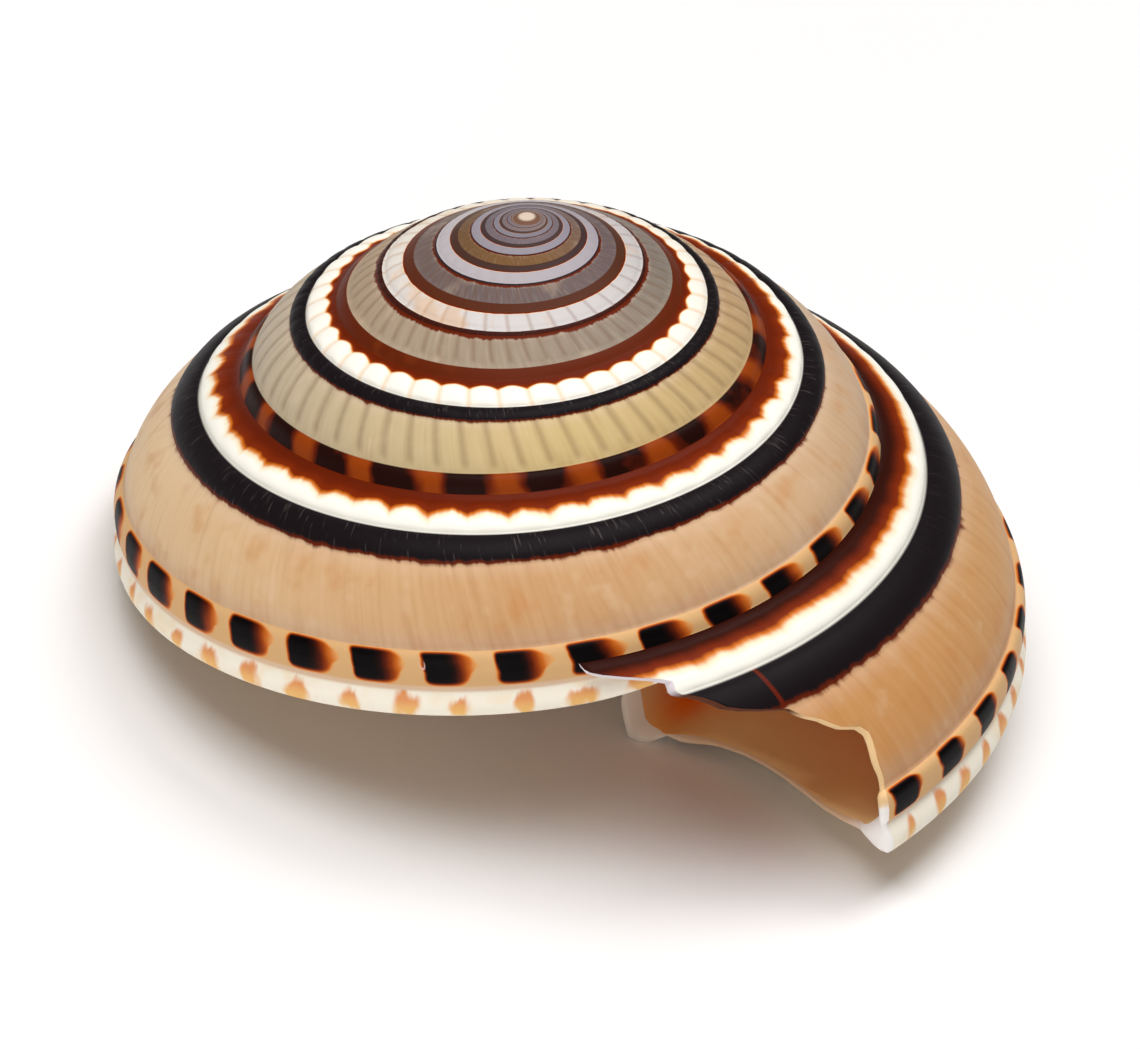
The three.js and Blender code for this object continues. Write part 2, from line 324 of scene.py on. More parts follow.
@dataclass(frozen=True)
class Hollow:
    """The spiral hollow: corners of its section, in order from the suture round the outside and the base.

    Thicknesses are in radii of the whorl. Towards the lip the wall thins, and the hollow reaches into the
    narrow angle between the wall and the keel of the whorl before.
    """

    coil: Coil = field(default_factory=Coil)
    wall: float = 0.035
    lip_wall: float = 0.0125
    suture_wall: float = 0.026
    coat: float = 0.0125
    lip_coat: float = 0.007
    thinning: float = 0.22
    base_drop: float = 0.103
    roundness: float = 0.55
    corner_count: ClassVar[int] = 17

    def corners(self, t: np.ndarray) -> np.ndarray:
        """Corners of the section.

        Args:
            t: Places along the coil, in a column.

        Returns:
            Distance from the axis and height of each corner.
        """
        coil, drop = self.coil, self.base_drop
        near = smooth(t, -self.thinning, 0)
        wall = self.wall + (self.lip_wall - self.wall) * near
        coat = (self.coat + (self.lip_coat - self.coat) * near) * coil.radius(t)

        def coated(radius: float, below: float = drop) -> Section:
            """A point of the thin coat on the base of the whorl before."""
            r, z = coil.lower(t - 1, radius, below)
            return r, z - coat

        notched_edge = coil.lower(t, 0.302, 0.092)
        wall_top = between(coil.lower(t - 1, 0.385, 0.088), notched_edge, 0.2)
        ceiling = coil.upper(t, 0.25, -wall)
        deep_suture = between(ceiling, coil.lower(t - 1, 1, drop + 0.03), 0.4)
        keel_r, keel_z = coil.lower(t - 1, 1.009, 0.07)
        deep_keel = coated(0.98)
        corners = [
            between(between(deep_suture, ceiling, 0.2), coil.upper(t, 0.06, -self.suture_wall), near),
            between(ceiling, coil.upper(t, 0.2, -self.suture_wall), near),
            coil.upper(t, 0.35, -wall),
            coil.upper(t, 0.6, -wall),
            coil.upper(t, 0.85, -wall),
            coil.lower(t, 0.99 - wall, 0.02),
            coil.lower(t, 0.9, drop - 0.006 - wall),
            coil.lower(t, 0.66, drop - 0.006 - wall),
            coil.lower(t, 0.44, drop - 0.006 - wall),
            coil.lower(t, 0.325 + wall, 0.06),
            (wall_top[0] + wall * coil.radius(t) * 1.1, wall_top[1]),
            coated(0.47),
            coated(0.7),
            coated(0.93),
            between(deep_keel, coated(0.985, 0.113), near),
            between(between(deep_keel, deep_suture, 0.5), (keel_r + coat, keel_z), near),
            between(deep_suture, coil.upper(t, 0.012, -0.004), near),
        ]
        return np.stack([np.stack(np.broadcast_arrays(*corner), -1) for corner in corners], -2)

    def places(self, t: np.ndarray, corner: np.ndarray) -> np.ndarray:
        """Places of the hollow's wall.

        Args:
            t: Places along the coil.
            corner: Places round the section, counted in corners.

        Returns:
            Places in the frame.
        """
        corners = self.corners(t)
        low = np.floor(corner).astype(int)
        s = (corner - low)[..., None]
        p = []
        for step in (-1, 0, 1, 2):
            number = ((low + step) % self.corner_count)[..., None, None]
            p.append(np.take_along_axis(corners, number, -2)[..., 0, :])
        curve = 0.5 * (2 * p[1] + (p[2] - p[0]) * s + (2 * p[0] - 5 * p[1] + 4 * p[2] - p[3]) * s**2
                       + (3 * p[1] - p[0] - 3 * p[2] + p[3]) * s**3)
        line = p[1] + (p[2] - p[1]) * s
        section = line + (curve - line) * self.roundness
        return self.coil.place(t, (section[..., 0], section[..., 1]))


class SheetEdge(Enum):
    """Edges of a sheet, as indices of its places."""

    FIRST_COLUMN = (0, slice(None))
    FIRST_ROW = (slice(None), 0)
    LAST_ROW = (slice(None), -1)


@dataclass
class Sheet:
    """A grid of places with the coordinates that its finish reads."""

    places: np.ndarray
    coordinates: np.ndarray

    def straighten(self, edge: SheetEdge, first: int = 0, last: int | None = None) -> "Sheet":
        """Put every second place of an edge halfway between its neighbours, to meet a coarser sheet.

        Args:
            edge: Which edge.
            first: Where the coarser sheet begins, counted in places.
            last: Where it ends, or None for the end of the edge.

        Returns:
            This sheet.
        """
        line = self.places[edge.value][first:last]
        line[1:-1:2] = (line[:-2:2] + line[2::2]) / 2
        return self

    def build(self) -> bpy.types.Object:
        """Add a flat grid and wrap it onto the sheet's places.

        Returns:
            The wrapped grid.
        """
        columns, rows = self.places.shape[:2]
        bpy.ops.mesh.primitive_grid_add(x_subdivisions=columns - 1, y_subdivisions=rows - 1, size=1)
        wrapped = bpy.context.object
        mesh = wrapped.data
        flat = np.empty(len(mesh.vertices) * 3, np.float32)
        mesh.vertices.foreach_get("co", flat)
        flat = flat.reshape(-1, 3)
        column = np.rint((flat[:, 0] + 0.5) * (columns - 1)).astype(int)
        row = np.rint((flat[:, 1] + 0.5) * (rows - 1)).astype(int)
        mesh.vertices.foreach_set("co", self.places[column, row].astype(np.float32).ravel())
        corner = np.empty(len(mesh.loops), np.int32)
        mesh.loops.foreach_get("vertex_index", corner)
        uv = mesh.uv_layers[0]
        uv.name = SHELL_MAP
        uv.data.foreach_set("uv", self.coordinates[column, row][corner].astype(np.float32).ravel())
        mesh.update()
        return wrapped


@dataclass
class ShellBuilder:
    """Builds the shell's mesh: the wrapped sheets, sewn into one closed body."""

    coil: Coil = field(default_factory=Coil)
    relief: Relief = field(default_factory=Relief)
    mouth: Mouth = field(default_factory=Mouth)
    hollow: Hollow = field(default_factory=Hollow)
    steps: int = 384
    band_rows: tuple[int, ...] = (12, 8, 16, 12)
    umbilicus_first: float = -5.5
    hollow_first: float = -2.1
    merge_distance: float = 1e-6
    front_drop: float = 0.022
    dome_height: float = 0.005
    dome_rings: int = 8
    first_reach: float = 0.6
    lip_rounding: float = 0.0006
    knob_rounding: float = 0.001
    keel: Outline = Outline(
        (4.0, 4.1, 4.3, 4.45, 4.65, 4.8, 4.9, 5.0, 5.07, 5.15, 5.4, 5.7, 5.85, 5.93, 6.0),
        ((1.004, 0.004), (1.007, 0.016), (0.996, 0.036), (1.004, 0.052), (1.009, 0.076), (1.000, 0.101),
         (0.976, 0.113), (0.945, 0.104), (0.915, 0.1045), (0.88, 0.102), (0.74, 0.099), (0.56, 0.096),
         (0.475, 0.097), (0.43, 0.101), (0.385, 0.088)),
    )
    notched: Outline = Outline(
        (6.0, 6.2, 6.5, 6.8, 7.0),
        ((0.385, 0.088), (0.356, 0.108), (0.326, 0.112), (0.302, 0.092), (0.300, 0.070)),
    )

    def upper_rows(self, share: int) -> np.ndarray:
        """Band coordinates of the rows of the upper side.

        Args:
            share: 1 for all rows, 2 for every second one, 4 for every fourth.

        Returns:
            Coordinates from 0 to 4.
        """
        rows = [0.0]
        for band, count in enumerate(self.band_rows):
            count //= share
            s = np.arange(1, count + 1) / count
            rows.extend(band + 0.5 * s + 0.5 * (0.5 - 0.5 * np.cos(np.pi * s)))
        return np.array(rows)

    def started(self, t: np.ndarray) -> np.ndarray:
        """How far the relief has begun after the larval shell, from 0 to 1."""
        return smooth(t, self.coil.first, self.coil.first + self.first_reach)

    def upper_places(self, t: np.ndarray, v: np.ndarray) -> np.ndarray:
        """Places of the upper side.

        Args:
            t: Places along the coil.
            v: Band coordinates.

        Returns:
            Places in the frame.
        """
        across = self.relief.across(t, v)
        r, z = self.coil.upper(t, across, self.relief.rise(t, v) * self.started(t))
        before = np.maximum(t - 1, self.coil.first)
        edge_rise = self.relief.rise(before, 4 + 0 * t) * self.started(before)
        edge_r, edge_z = self.coil.upper(before, 1 + 0 * t, edge_rise)
        at_suture = v < 1e-9
        return self.coil.place(t, (np.where(at_suture, edge_r, r), np.where(at_suture, edge_z, z)))

    def upper_sheet(self, start: float, end: float, steps: int, share: int) -> Sheet:
        """Part of the upper side.

        Args:
            start: Place along the coil of its first column.
            end: Place of its last column.
            steps: Columns per whorl.
            share: How many rows go into one.

        Returns:
            The sheet.
        """
        t, v = np.meshgrid(start + np.arange(round((end - start) * steps) + 1) / steps,
                           self.upper_rows(share), indexing="ij")
        return self.upper_part(self.mouth.towards(t, v), v)

    def upper_part(self, t: np.ndarray, v: np.ndarray) -> Sheet:
        """The upper side at these places along the coil and across it."""
        grown = self.relief.grown(t, self.relief.across(t, v))
        return Sheet(self.upper_places(t, v), np.stack([grown, v], -1))

    def flap(self) -> Sheet:
        """What reaches past the lip's plane: the upper side beside the suture."""
        rows = self.upper_rows(1)
        rows = rows[:np.argmax(self.mouth.end(rows) < self.mouth.flap_start(rows)) + 1]
        share, v = np.meshgrid(np.linspace(0, 1, round(self.mouth.suture_lead * self.steps) + 1), rows,
                               indexing="ij")
        start, end = self.mouth.flap_start(v), self.mouth.end(v)
        return self.upper_part(np.where(end > start, start + share * (end - start), end), v)

    def dome(self, steps: int) -> Sheet:
        """The larval shell at the apex, a smooth low dome."""
        first_turn = self.coil.first + np.arange(steps + 1)[:, None] / steps
        rim = self.upper_places(first_turn, np.zeros((steps + 1, 1)))
        centre = rim[:-1].mean(axis=0)
        upright = self.coil.place(np.zeros(1), (np.zeros(1), np.ones(1))) - np.array(self.coil.apex)
        upright /= np.linalg.norm(upright)
        s = np.linspace(0, 1, self.dome_rings)[None, :, None]
        bulge = self.dome_height * self.coil.lip_radius * np.sqrt(1 - s**2)
        places = centre[None] + (rim - centre[None]) * s + upright[None] * bulge
        turn = first_turn + 0 * s[..., 0]
        return Sheet(places, np.stack([turn - 1, -0.5 + 0.4 * s[..., 0] + 0 * turn], -1))

    def lower_places(self, t: np.ndarray, v: np.ndarray) -> np.ndarray:
        """Places of the keel and the base.

        Args:
            t: Places along the coil.
            v: Band coordinates from 4 to 6.

        Returns:
            Places in the frame.
        """
        shape = self.keel.at(v)
        pulse = np.sin(41 * t + 2 * np.sin(11 * t)) * np.sin(17.3 * t + 2)
        wave = 0.0015 * pulse * smooth(v, 5.0, 5.3) * smooth(v, 6.0, 5.8)
        low_front = self.front_drop * smooth(t, -0.52, -0.66) * smooth(t, -0.97, -0.9)
        low_front = low_front * smooth(v, 4.05, 4.4) * smooth(v, 5.4, 5.0)
        r, z = self.coil.lower(t, shape[..., 0], shape[..., 1] + wave + low_front)
        edge_r, edge_z = self.coil.upper(t, 1 + 0 * t, self.relief.rise(t, 4 + 0 * t))
        near = v < 4 + 1e-9
        return self.coil.place(t, (np.where(near, edge_r, r), np.where(near, edge_z, z)))

    def lower_rows(self) -> np.ndarray:
        """Band coordinates of the rows of the keel and the base."""
        keel, base, cord = np.linspace(4, 5, 14), np.linspace(5, 5.8, 9), np.linspace(5.8, 6, 5)
        return np.concatenate([keel, base[1:], cord[1:]])

    def lower_sheet(self) -> Sheet:
        """The keel and the base of the last whorl."""
        steps = self.steps // 2
        t, v = np.meshgrid(-1 + np.arange(steps + 1) / steps, self.lower_rows(), indexing="ij")
        t = np.maximum(self.mouth.towards(t, v), self.mouth.attached(v) - 1)
        return Sheet(self.lower_places(t, v), np.stack([t + self.relief.slant, v], -1))

    def seam_section(self, t: np.ndarray) -> Section:
        """The groove from which the next whorl's inner wall stands."""
        return self.coil.lower(t, *self.keel.values[-1])

    def umbilical_places(self, t: np.ndarray, v: np.ndarray) -> np.ndarray:
        """Places of the notched keel and of the umbilical wall above it.

        Args:
            t: Places along the coil.
            v: Band coordinates from 6 to 8.

        Returns:
            Places in the frame.
        """
        shape = self.notched.at(np.minimum(v, 7))
        crest = np.sqrt(np.abs(np.sin(np.pi * self.relief.crenae.count(t)))) - 0.35
        notch = 0.020 * crest * smooth(v, 6.02, 6.3) * smooth(v, 7.15, 6.75) * smooth(t, -4.2, -3)
        knob = 0.016 * smooth(t, -0.03, -0.012) * smooth(v, 6.05, 6.35) * smooth(v, 7.0, 6.6)
        radius, drop = shape[..., 0] + 0.6 * notch + 0.3 * knob, shape[..., 1] - notch + 0.8 * knob
        r, z = self.coil.lower(t, radius, drop)
        top_r, top_z = self.seam_section(np.maximum(t - 1, self.umbilicus_first))
        up = np.clip(v - 7, 0, 1)
        bow = 0.012 * np.sin(np.pi * up) * self.coil.radius(t)
        r, z = r + (top_r - r) * up + bow, z + (top_z - z) * up
        seam_r, seam_z = self.seam_section(t)
        opened = smooth(t, self.umbilicus_first, self.umbilicus_first + 0.4)
        r, z = seam_r + (r - seam_r) * opened, seam_z + (z - seam_z) * opened
        top = v > 8 - 1e-9
        r, z = np.where(top, top_r, r), np.where(top, top_z, z)
        return self.coil.place(t, (r, z))

    def umbilical_rows(self, share: int) -> np.ndarray:
        """Band coordinates of the rows of the umbilicus."""
        keel_rows = np.linspace(6, 7, 12 // share + 1)
        return np.concatenate([keel_rows, np.linspace(7, 8, 4 // share + 1)[1:]])

    def umbilical_sheet(self, start: float, end: float, steps: int, share: int) -> Sheet:
        """Part of the umbilicus.

        Args:
            start: Place along the coil of its first column.
            end: Place of its last column.
            steps: Columns per whorl.
            share: How many rows go into one.

        Returns:
            The sheet.
        """
        columns = start + np.arange(round((end - start) * steps) + 1) / steps
        t, v = np.meshgrid(columns, self.umbilical_rows(share), indexing="ij")
        t = self.mouth.towards(t, v)
        return Sheet(self.umbilical_places(t, v), np.stack([t + self.relief.slant, v], -1))

    def umbilicus_cap(self, steps: int) -> Sheet:
        """The small round end of the umbilicus."""
        turn = self.umbilicus_first + np.arange(steps + 1)[:, None] / steps
        top = np.full_like(turn, self.umbilicus_first)
        rim = self.coil.place(turn, self.seam_section(top))
        centre = rim[:-1].mean(axis=0)
        s = np.linspace(0, 1, 4)[None, :, None]
        places = centre[None] + (rim - centre[None]) * s
        return Sheet(places, np.stack([turn + 0 * s[..., 0], 8 - s[..., 0] * 0 + 0 * turn], -1))

    def lip_loop(self) -> tuple[np.ndarray, np.ndarray, np.ndarray, np.ndarray]:
        """The edge of the mouth, once round from the suture.

        Returns:
            Places of the outside's edge, the end of the hollow's rows along the coil, the place of each
            row round the hollow counted in corners, and the band coordinate.
        """
        upper = self.upper_rows(1)
        lower = self.lower_rows()[1:]
        inner = self.umbilical_rows(1)[1:]
        back = self.lower_rows()[::-1][1:]
        attached = self.mouth.attached(back)
        outside = np.concatenate([
            self.upper_places(self.mouth.end(upper), upper),
            self.lower_places(self.mouth.end(lower), lower),
            self.umbilical_places(self.mouth.end(inner), inner),
            self.lower_places(attached - 1, back),
        ])
        ends = np.concatenate([*(self.mouth.end(rows) for rows in (upper, lower, inner)), attached])
        lip_across = self.relief.across(np.zeros_like(upper), upper)
        corner = np.concatenate([
            np.interp(lip_across, (0, 0.06, 0.2, 0.35, 0.6, 0.85, 1), (-1, 0, 1, 2, 3, 4, 4.8)),
            np.interp(lower, (4, 4.65, 5.1, 5.54, 5.89, 6), (4.8, 5.2, 6, 7, 8, 8.4)),
            np.interp(inner, (6, 6.5, 7, 8), (8.4, 9, 9.5, 10.3)),
            np.interp(-back, (-6, -5.85, -5.47, -5.04, -4.88, -4.65, -4.3, -4),
                      (10.3, 11, 12, 13, 14, 15, 15.5, 16)),
        ])
        bands = np.concatenate([upper, lower, inner, back])
        return outside, ends, corner, bands

    def hollow_sheets(self) -> list[Sheet]:
        """The spiral hollow and the lip that joins it to the outside."""
        outside, ends, corner, bands = self.lip_loop()
        deep = np.arange(self.hollow_first, -0.6, 1 / 20)
        near = np.arange(-0.6, self.mouth.suture_lead + 1 / 96, 1 / 96)
        columns = np.concatenate([deep, near])
        t = np.minimum(columns[:, None], ends[None, :])
        corner = np.broadcast_to(corner, t.shape)
        places = self.hollow.places(t, corner)
        tip = np.broadcast_to(places[:1].mean(axis=1, keepdims=True), places[:1].shape)
        depth = Zone.HOLLOW.value + np.clip((ends[None, :] - t) * 4, 0, 8)
        coordinates = np.stack([corner / Hollow.corner_count, depth], -1)
        inside = Sheet(np.concatenate([tip, places]), np.concatenate([coordinates[:1], coordinates]))
        edge = places[-1]
        ahead = self.hollow.places(ends + 0.001, corner[-1]) - edge
        ahead /= np.linalg.norm(ahead, axis=-1, keepdims=True)
        thick = np.linalg.norm(edge - outside, axis=-1, keepdims=True)
        s = np.linspace(0, 1, 5)[:, None, None]
        free = smooth(bands, 0, 0.4) * smooth(bands, 8, 7.6)
        free[len(ends) - len(self.lower_rows()):] = 0
        free = free[None, :, None]
        knob = free * (smooth(bands, 5.95, 6.3) * smooth(bands, 7.3, 6.9))[None, :, None]
        widest = np.minimum(thick, self.lip_rounding + self.knob_rounding * knob)
        rounding = widest * (0.45 + 0.2 * knob) * np.sin(np.pi * s) * free
        rim = outside + (edge - outside) * s + ahead * rounding
        band = np.broadcast_to(bands, rim.shape[:2])
        lip = Sheet(rim, np.stack([Zone.LIP.value + s[..., 0] + 0 * band, band], -1))
        return [inside, lip]

    def sheets(self) -> list[Sheet]:
        """All the sheets of the shell, the smaller whorls with fewer columns and rows."""
        fine, half, quarter = self.steps, self.steps // 2, self.steps // 4
        joined = round((2 + self.mouth.suture_lead) * fine) - fine
        return [
            self.dome(quarter),
            self.upper_sheet(self.coil.first, -5, quarter, 4),
            self.upper_sheet(-5, -3, half, 2).straighten(SheetEdge.FIRST_COLUMN)
                .straighten(SheetEdge.FIRST_ROW, last=half + 1),
            self.upper_sheet(-3, -2, fine, 2).straighten(SheetEdge.FIRST_ROW),
            self.upper_sheet(-2, 0, fine, 1).straighten(SheetEdge.FIRST_COLUMN)
                .straighten(SheetEdge.LAST_ROW, first=joined),
            self.flap(),
            self.lower_sheet(),
            self.umbilical_sheet(-1, 0, fine, 1).straighten(SheetEdge.FIRST_COLUMN)
                .straighten(SheetEdge.FIRST_ROW).straighten(SheetEdge.LAST_ROW),
            self.umbilical_sheet(-3, -1, half, 2).straighten(SheetEdge.FIRST_COLUMN)
                .straighten(SheetEdge.LAST_ROW, last=half + 1),
            self.umbilical_sheet(self.umbilicus_first, -3, quarter, 4),
            self.umbilicus_cap(quarter),
            *self.hollow_sheets(),
        ]

    def open_edges(self, mesh: bpy.types.Mesh) -> np.ndarray:
        """Find the edges that only one face has.

        Args:
            mesh: The mesh.

        Returns:
            Their numbers.
        """
        of_corner = np.empty(len(mesh.loops), np.int32)
        mesh.loops.foreach_get("edge_index", of_corner)
        return np.flatnonzero(np.bincount(of_corner, minlength=len(mesh.edges)) == 1)

    def meet_finer(self, shell: bpy.types.Object) -> None:
        """Split each edge of a coarse sheet where a finer one has a place halfway along it.

        Args:
            shell: The joined sheets.
        """
        mesh = shell.data
        places = np.empty(len(mesh.vertices) * 3, np.float32)
        mesh.vertices.foreach_get("co", places)
        places = places.reshape(-1, 3).astype(float)
        ends = np.empty(len(mesh.edges) * 2, np.int32)
        mesh.edges.foreach_get("vertices", ends)
        ends = ends.reshape(-1, 2)
        free = self.open_edges(mesh)
        corners = np.unique(ends[free])
        tree = KDTree(len(corners))
        for corner in corners:
            tree.insert(places[corner], int(corner))
        tree.balance()
        halfway = {edge: places[ends[edge]].mean(axis=0) for edge in free}
        long_edges = [edge for edge in free if tree.find(halfway[edge])[2] < self.merge_distance]
        chosen = np.zeros(len(mesh.edges), bool)
        chosen[long_edges] = True
        bpy.context.tool_settings.mesh_select_mode = (False, True, False)
        mesh.vertices.foreach_set("select", np.zeros(len(mesh.vertices), bool))
        mesh.polygons.foreach_set("select", np.zeros(len(mesh.polygons), bool))
        mesh.edges.foreach_set("select", chosen)
        for edge in long_edges:
            for corner in mesh.edges[edge].vertices:
                mesh.vertices[corner].select = True
        bpy.ops.object.mode_set(mode="EDIT")
        bpy.ops.mesh.subdivide(number_cuts=1)
        bpy.ops.mesh.select_all(action="SELECT")
        bpy.ops.mesh.remove_doubles(threshold=self.merge_distance)
        bpy.ops.mesh.select_all(action="SELECT")
        bpy.ops.mesh.normals_make_consistent(inside=False)
        bpy.ops.object.mode_set(mode="OBJECT")

    def build(self) -> bpy.types.Object:
        """Wrap every sheet, sew them together and stand the shell on the ground.

        Returns:
            The shell's mesh object.
        """
        bpy.ops.object.select_all(action="DESELECT")
        wrapped = [sheet.build() for sheet in self.sheets()]
        for piece in wrapped:
            piece.select_set(True)
        bpy.context.view_layer.objects.active = wrapped[0]
        bpy.ops.object.join()
        shell = bpy.context.object
        shell.name = "sundial_shell"
        bpy.ops.object.mode_set(mode="EDIT")
        bpy.ops.mesh.select_all(action="SELECT")
        bpy.ops.mesh.remove_doubles(threshold=self.merge_distance)
        bpy.ops.object.mode_set(mode="OBJECT")
        self.meet_finer(shell)
        mesh = shell.data
        places = np.empty(len(mesh.vertices) * 3, np.float32)
        mesh.vertices.foreach_get("co", places)
        places = places.reshape(-1, 3)
        places[:, 2] = np.maximum(places[:, 2], 0)
        mesh.vertices.foreach_set("co", places.ravel())
        mesh.update()
        bpy.ops.object.shade_smooth()
        triangles = sum(len(face.vertices) - 2 for face in mesh.polygons)
        LOG.info("%s: %d triangles, %d open edges", shell.name, triangles, len(self.open_edges(mesh)))
        return shell


Number = float | int


class Quantity:
    """A number or vector in a material's node tree, so that its maths reads as Python."""

    def __init__(self, nodes: "Nodes", socket: bpy.types.NodeSocket) -> None:
        """Wrap a socket.

        Args:
            nodes: The tree that the socket is in.
            socket: The output that holds the number.
        """
        self.nodes = nodes
        self.socket = socket

    def _with(self, operation: str, first: "Quantity | Number", second: "Quantity | Number") -> "Quantity":
        """Join two numbers by a Math node."""
        return self.nodes.add("ShaderNodeMath", {"operation": operation}, {0: first, 1: second})

    def __add__(self, other: "Quantity | Number") -> "Quantity":
        """Sum."""
        return self._with("ADD", self, other)

    def __radd__(self, other: Number) -> "Quantity":
        """Sum, reflected."""
        return self._with("ADD", other, self)

    def __sub__(self, other: "Quantity | Number") -> "Quantity":
        """Difference."""
        return self._with("SUBTRACT", self, other)

    def __rsub__(self, other: Number) -> "Quantity":
        """Difference, reflected."""
        return self._with("SUBTRACT", other, self)

    def __mul__(self, other: "Quantity | Number") -> "Quantity":
        """Product."""
        return self._with("MULTIPLY", self, other)

    def __rmul__(self, other: Number) -> "Quantity":
        """Product, reflected."""
        return self._with("MULTIPLY", other, self)

    def __truediv__(self, other: "Quantity | Number") -> "Quantity":
        """Quotient."""
        return self._with("DIVIDE", self, other)

    def one(self, operation: str) -> "Quantity":
        """Apply a Math node that takes one number."""
        return self.nodes.add("ShaderNodeMath", {"operation": operation}, {0: self})

    def smooth(self, low: "Quantity | Number", high: "Quantity | Number") -> "Quantity":
        """Rise smoothly from 0 at low to 1 at high, or fall where high is below low."""
        return self.nodes.add("ShaderNodeMapRange", {"interpolation_type": "SMOOTHSTEP"},
                              {"Value": self, "From Min": low, "From Max": high})


Colour = tuple[float, float, float, float]


def colour(red: int, green: int, blue: int) -> Colour:
    """A colour as the screen shows it, from 0 to 255, made linear."""
    def linear(c: float) -> float:
        """One channel made linear."""
        return c / 12.92 if c <= 0.04045 else ((c + 0.055) / 1.055) ** 2.4
    return linear(red / 255), linear(green / 255), linear(blue / 255), 1.0


class Nodes:
    """Adds nodes to a material's tree."""

    def __init__(self, name: str) -> None:
        """Start an empty material.

        Args:
            name: The material's name.
        """
        self.material = bpy.data.materials.new(name)
        self.material.use_nodes = True
        self.tree = self.material.node_tree
        self.tree.nodes.clear()

    def add(self, kind: str, settings: dict, inputs: dict, output: int | str = 0) -> Quantity:
        """Add a node, set it and link it.

        Args:
            kind: The node's type.
            settings: Its properties, and for a ramp its stops.
            inputs: Values or quantities for its sockets, by name or number.
            output: The socket to return.

        Returns:
            The chosen output.
        """
        node = self.tree.nodes.new(kind)
        for key, value in settings.items():
            if key == "stops":
                ramp = node.color_ramp
                while len(ramp.elements) < len(value):
                    ramp.elements.new(0.5)
                for element, (position, shade) in zip(ramp.elements, value, strict=True):
                    element.position = position
                    element.color = shade
            else:
                setattr(node, key, value)
        for key, value in inputs.items():
            if isinstance(value, Quantity):
                self.tree.links.new(value.socket, node.inputs[key])
            else:
                node.inputs[key].default_value = value
        found = node.outputs[output] if node.outputs else None
        return Quantity(self, found)

    def mix(self, share: Quantity | Number, first: Quantity | Colour, second: Quantity | Colour) -> Quantity:
        """Mix two colours.

        Args:
            share: How much of the second.
            first: The colour at 0.
            second: The colour at 1.

        Returns:
            The mixed colour.
        """
        return self.add("ShaderNodeMix", {"data_type": "RGBA"}, {0: share, 6: first, 7: second}, 2)

    def ramp(self, place: Quantity, stops: list[tuple[float, Colour]]) -> Quantity:
        """A colour that follows a number through several stops."""
        return self.add("ShaderNodeValToRGB", {"stops": stops}, {0: place})

    def noise(self, where: Quantity, scale: float, detail: float = 2, distortion: float = 0) -> Quantity:
        """Soft noise around one half."""
        inputs = {"Vector": where, "Scale": scale, "Detail": detail, "Distortion": distortion}
        return self.add("ShaderNodeTexNoise", {}, inputs)

    def vector(self, x: Quantity | Number, y: Quantity | Number, z: Quantity | Number = 0) -> Quantity:
        """A vector from three numbers."""
        return self.add("ShaderNodeCombineXYZ", {}, {0: x, 1: y, 2: z})


@dataclass(frozen=True)
class ShellColours:
    """The shell's colours."""

    white: Colour = colour(255, 252, 240)
    cream: Colour = colour(250, 226, 184)
    orange: Colour = colour(216, 116, 30)
    rust: Colour = colour(104, 31, 5)
    brown: Colour = colour(52, 15, 6)
    black: Colour = colour(25, 19, 22)
    dash: Colour = colour(7, 4, 5)
    maroon: Colour = colour(62, 24, 16)
    gap: Colour = colour(220, 176, 124)
    groove: Colour = colour(226, 194, 164)
    keel: Colour = colour(255, 247, 230)
    base: Colour = colour(230, 206, 172)


@dataclass(frozen=True)
class Place:
    """What the finish reads at a place: its coordinates in the map, and noises that vary over the shell."""

    grown: Quantity
    band: Quantity
    mottle: Quantity
    patches: Quantity
    wobble: Quantity
    lines: Quantity
    hairs: Quantity


